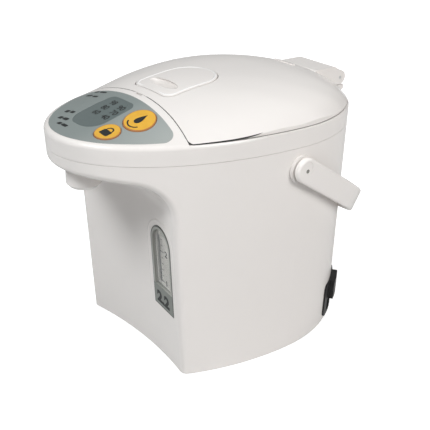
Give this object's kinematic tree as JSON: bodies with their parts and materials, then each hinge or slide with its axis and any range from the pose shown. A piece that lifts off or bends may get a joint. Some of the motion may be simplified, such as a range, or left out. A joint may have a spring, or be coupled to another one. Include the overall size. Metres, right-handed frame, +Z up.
{
  "type": "electric thermo pot",
  "caption": "Egg-shaped electric water pot with a pouring hood, a key panel, a level gauge, a lever-opened hinged lid, a swing handle and a turning base.",
  "frame": {"origin": "on the surface that the pot stands on, under the middle of its outer box", "axes": "+Z up, -Y towards the pouring side, +X to the right of someone standing behind the pot"},
  "size_m": [0.206, 0.2985, 0.2354],
  "materials": {
    "body_white": "gloss",
    "lid_white": "gloss",
    "handle_white": "gloss",
    "panel_grey": "satin",
    "display_grey": "gloss",
    "key_amber": "satin",
    "frame_grey": "satin",
    "window_clear": "clear",
    "scale_grey": "satin",
    "black_plastic": "satin",
    "grey_plastic": "satin",
    "steel": "brushed",
    "brass": "plain",
    "rubber_grey": "matt",
    "silicone": "matt",
    "board_green": "satin",
    "mica": "matt",
    "tube_clear": "clear"
  },
  "bodies": {
    "base": {"swivel_base": "black_plastic", "swivel_feet": "rubber_grey", "glide_ring": "grey_plastic", "spindle_washer": "steel", "spindle_screw": "steel"},
    "pot": {"bottom_cover": "black_plastic", "cover_screws": "steel", "body_shell": "body_white", "top_frame": "body_white", "control_panel": "panel_grey", "display_window": "display_grey", "display_module": "grey_plastic", "control_board": "board_green", "board_screws": "steel", "key_switches": "black_plastic", "gauge_frame": "frame_grey", "gauge_window": "window_clear", "gauge_plate": "scale_grey", "gauge_tube": "tube_clear", "delivery_hose": "silicone", "outlet_hose": "silicone", "spout_cover": "body_white", "spout_nozzle": "grey_plastic", "inlet_housing": "black_plastic", "inlet_pins": "brass", "power_board": "board_green", "power_components": "grey_plastic", "pump_mount": "rubber_grey", "pump_motor": "steel", "pump_housing": "grey_plastic", "pump_cover": "grey_plastic", "inner_container": "steel", "container_seal": "silicone", "container_support": "grey_plastic", "heat_shield": "steel", "band_heater": "mica", "base_heater": "mica", "thermal_cutout": "grey_plastic", "temperature_sensor": "steel", "pivot_bosses": "body_white", "pivot_pins": "steel"},
    "lid": {"lid_cover": "lid_white", "lid_underside": "grey_plastic", "lid_plate": "steel", "lid_gasket": "silicone", "steam_duct": "grey_plastic", "steam_cap": "lid_white", "lid_screws": "steel", "hinge_pin": "steel", "lever_pin": "steel", "lever_spring": "steel"},
    "lever": {"lid_lever": "lid_white"},
    "latch": {"lid_latch": "grey_plastic"},
    "handle": {"handle_bail": "handle_white"},
    "pour_button": {"pour_key": "key_amber"},
    "lock_button": {"lock_key": "key_amber"},
    "drive_rotor": {"drive_magnet": "steel"},
    "impeller_rotor": {"impeller": "grey_plastic"}
  },
  "joints": [
    {"name": "swivel", "type": "hinge", "parent": "base", "child": "pot", "pos_m": [0, 0.0314, 0], "axis": [0, 0, 1], "continuous": true},
    {"name": "lid_hinge", "type": "hinge", "parent": "pot", "child": "lid", "pos_m": [0, 0.1354, 0.2142], "axis": [-1, 0, 0], "range_deg": [0, 85]},
    {"name": "lever_hinge", "type": "hinge", "parent": "lid", "child": "lever", "pos_m": [0, -0.0031, 0.232], "axis": [-1, 0, 0], "range_deg": [0, 14], "stiffness_Nm_per_rad": 0.4, "springref_deg": -5.73},
    {"name": "latch_slide", "type": "slide", "parent": "lid", "child": "latch", "axis": [0, 1, 0], "range_m": [0, 0.0024]},
    {"name": "handle_hinge", "type": "hinge", "parent": "pot", "child": "handle", "pos_m": [0, 0.0204, 0.1735], "axis": [1, 0, 0], "range_deg": [0, 121.9]},
    {"name": "pour_press", "type": "slide", "parent": "pot", "child": "pour_button", "axis": [0, 0, -1], "range_m": [0, 0.0008], "stiffness_N_per_m": 900, "springref_m": -0.0006},
    {"name": "lock_press", "type": "slide", "parent": "pot", "child": "lock_button", "axis": [0, 0, -1], "range_m": [0, 0.0008], "stiffness_N_per_m": 900, "springref_m": -0.0006},
    {"name": "motor_spin", "type": "hinge", "parent": "pot", "child": "drive_rotor", "pos_m": [0.0285, 0.0074, 0.03], "axis": [0, 0, 1], "continuous": true},
    {"name": "impeller_spin", "type": "hinge", "parent": "pot", "child": "impeller_rotor", "pos_m": [0.0285, 0.0074, 0.037], "axis": [0, 0, 1], "continuous": true}
  ],
  "couplings": [
    {"joint": "latch_slide", "follows": "lever_hinge", "m_per_rad": 0.00981},
    {"joint": "impeller_spin", "follows": "motor_spin", "ratio": 1}
  ]
}
